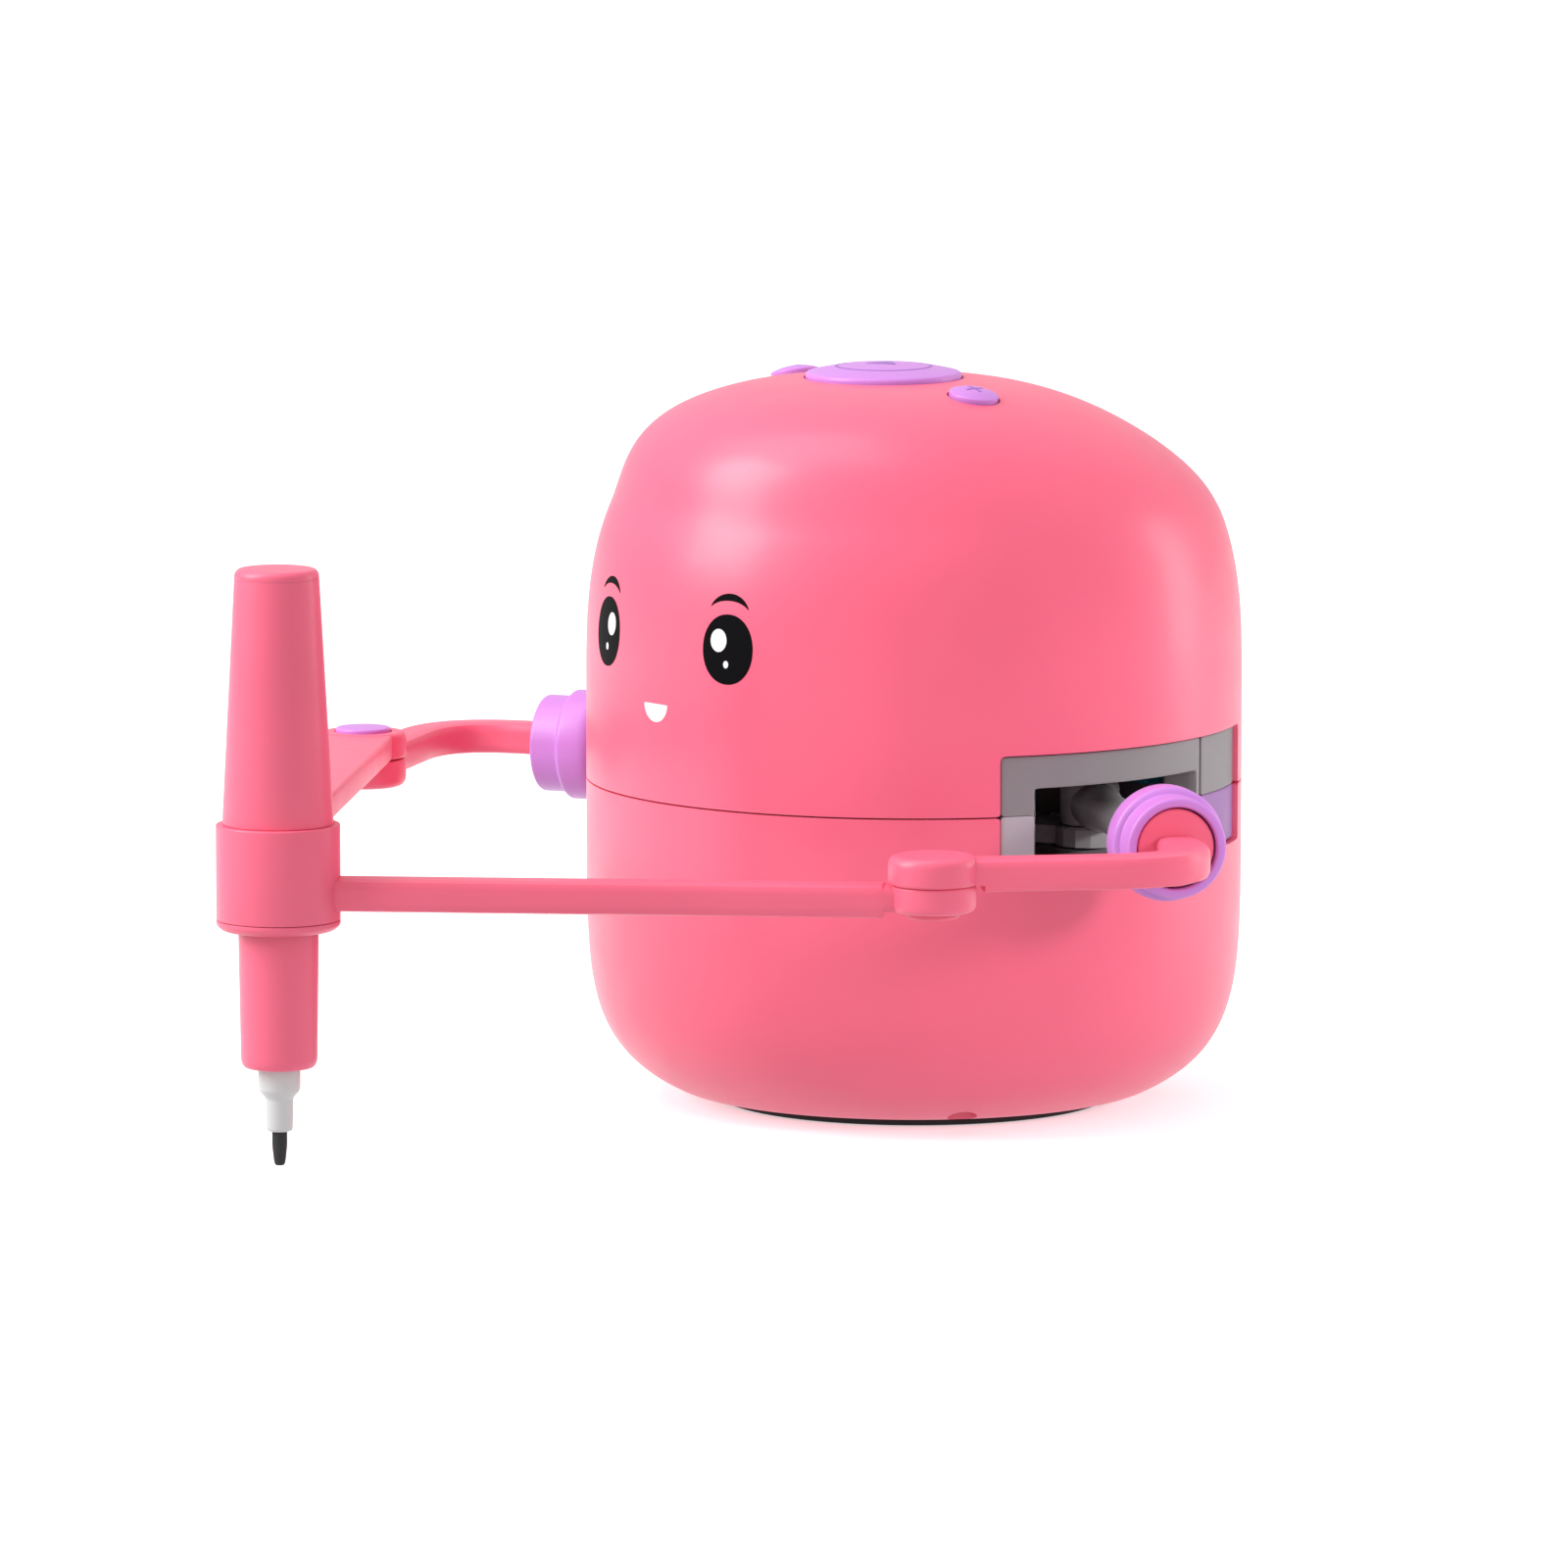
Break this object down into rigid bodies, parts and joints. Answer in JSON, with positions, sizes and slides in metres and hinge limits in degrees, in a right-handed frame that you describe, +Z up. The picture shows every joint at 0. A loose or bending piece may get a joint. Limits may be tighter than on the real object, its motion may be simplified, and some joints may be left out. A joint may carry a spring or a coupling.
{
  "type": "desktop drawing robot",
  "caption": "Rounded desktop drawing robot with two jointed arms reaching out of side slots and holding one felt-tip pen, with a pen lift and push buttons.",
  "frame": {"origin": "middle of the underside of the round rubber foot, on the surface that the robot stands on", "axes": "+Z up, -Y towards the face and the pen, +X towards the robot's own left"},
  "size_m": [0.2345, 0.2435, 0.1507],
  "materials": {
    "shell_pink": "satin moulded plastic",
    "arm_pink": "satin moulded plastic",
    "violet": "satin moulded plastic",
    "pale_grey": "fine-grained moulded plastic",
    "grey": "fine-grained moulded plastic",
    "white": "moulded plastic",
    "black": "moulded plastic",
    "foot_rubber": "matt",
    "steel": "drawn and zinc plated",
    "motor_can": "pressed can",
    "brass": "machined",
    "board": "solder-masked board",
    "teal": "moulded plastic",
    "nib_felt": "pressed fibre"
  },
  "bodies": {
    "housing": {"top_shell": "shell_pink", "bottom_shell": "shell_pink", "foot_pad": "foot_rubber", "left_bezel_upper": "grey", "left_bezel_lower": "pale_grey", "left_slot_end_block": "violet", "right_bezel_upper": "grey", "right_bezel_lower": "pale_grey", "right_slot_end_block": "violet", "button_board": "board", "main_switch": "black", "left_switch": "black", "right_switch": "black", "main_board": "board", "speaker": "black", "battery_pack": "teal", "charge_socket": "steel", "chassis_plate": "grey", "front_guide_rod": "steel", "rear_guide_rod": "steel", "housing_screw_1": "steel", "housing_screw_2": "steel", "housing_screw_3": "steel", "housing_screw_4": "steel", "lift_servo": "teal"},
    "main_button": {"main_button": "violet"},
    "left_button": {"left_button": "violet"},
    "right_button": {"right_button": "violet"},
    "lift_pinion": {"lift_pinion": "white"},
    "carriage": {"carriage_frame": "grey", "carriage_cover": "grey", "cable_plug": "teal", "lift_rack": "white", "left_pivot_shaft": "steel", "right_pivot_shaft": "steel", "left_shoulder_motor": "motor_can", "right_shoulder_motor": "motor_can"},
    "left_pinion": {"left_pinion": "brass"},
    "right_pinion": {"right_pinion": "brass"},
    "left_upper_arm": {"left_shoulder_rod": "white", "left_shoulder_collar": "violet", "left_upper_arm": "arm_pink", "left_elbow_pin": "arm_pink", "left_sector_gear": "white"},
    "right_upper_arm": {"right_shoulder_rod": "white", "right_shoulder_collar": "violet", "right_upper_arm": "arm_pink", "right_elbow_pin": "steel", "right_sector_gear": "white"},
    "left_forearm": {"left_forearm": "arm_pink", "collar_end_ring": "arm_pink"},
    "right_forearm": {"right_forearm": "arm_pink", "right_elbow_cap": "violet", "pen_tube": "arm_pink", "pen_lid": "arm_pink", "pen_barrel": "black", "pen_nose": "white", "pen_nib": "nib_felt"}
  },
  "joints": [
    {"name": "main_button_press", "type": "slide", "parent": "housing", "child": "main_button", "axis": [0, 0, 1], "range_m": [-0.0008, 0], "stiffness_N_per_m": 1200},
    {"name": "left_button_press", "type": "slide", "parent": "housing", "child": "left_button", "axis": [0.2045, 0, 0.9789], "range_m": [-0.0008, 0], "stiffness_N_per_m": 1200},
    {"name": "right_button_press", "type": "slide", "parent": "housing", "child": "right_button", "axis": [-0.2045, 0, 0.9789], "range_m": [-0.0008, 0], "stiffness_N_per_m": 1200},
    {"name": "pen_lift", "type": "slide", "parent": "housing", "child": "carriage", "axis": [0, 0, 1], "range_m": [-0.003, 0.003]},
    {"name": "lift_pinion_turn", "type": "hinge", "parent": "housing", "child": "lift_pinion", "pos_m": [0, -0.0267, 0.052], "axis": [1, 0, 0], "range_deg": [-25, 25]},
    {"name": "left_shoulder", "type": "hinge", "parent": "carriage", "child": "left_upper_arm", "pos_m": [0.038, 0.015, 0.0629], "axis": [0, 0, 1], "range_deg": [-12, 12]},
    {"name": "right_shoulder", "type": "hinge", "parent": "carriage", "child": "right_upper_arm", "pos_m": [-0.038, 0.015, 0.0641], "axis": [0, 0, 1], "range_deg": [-12.5, 12.5]},
    {"name": "left_elbow", "type": "hinge", "parent": "left_upper_arm", "child": "left_forearm", "pos_m": [0.09388, -0.07105, 0.06], "axis": [0, 0, 1], "range_deg": [-24, 24]},
    {"name": "right_elbow", "type": "hinge", "parent": "right_upper_arm", "child": "right_forearm", "pos_m": [-0.08553, -0.07592, 0.067], "axis": [0, 0, 1], "range_deg": [-24.5, 24.5]},
    {"name": "left_pinion_turn", "type": "hinge", "parent": "carriage", "child": "left_pinion", "pos_m": [0.013, 0.015, 0.056], "axis": [0, 0, 1], "range_deg": [-50, 50]},
    {"name": "right_pinion_turn", "type": "hinge", "parent": "carriage", "child": "right_pinion", "pos_m": [-0.013, 0.015, 0.056], "axis": [0, 0, 1], "range_deg": [-50, 50]}
  ],
  "couplings": [
    {"joint": "right_shoulder", "follows": "left_shoulder", "ratio": -1},
    {"joint": "left_elbow", "follows": "left_shoulder", "ratio": -1.95},
    {"joint": "right_elbow", "follows": "left_shoulder", "ratio": 1.99},
    {"joint": "left_pinion_turn", "follows": "left_shoulder", "ratio": -4},
    {"joint": "right_pinion_turn", "follows": "left_shoulder", "ratio": 4},
    {"joint": "lift_pinion_turn", "follows": "pen_lift", "rad_per_m": 125}
  ]
}
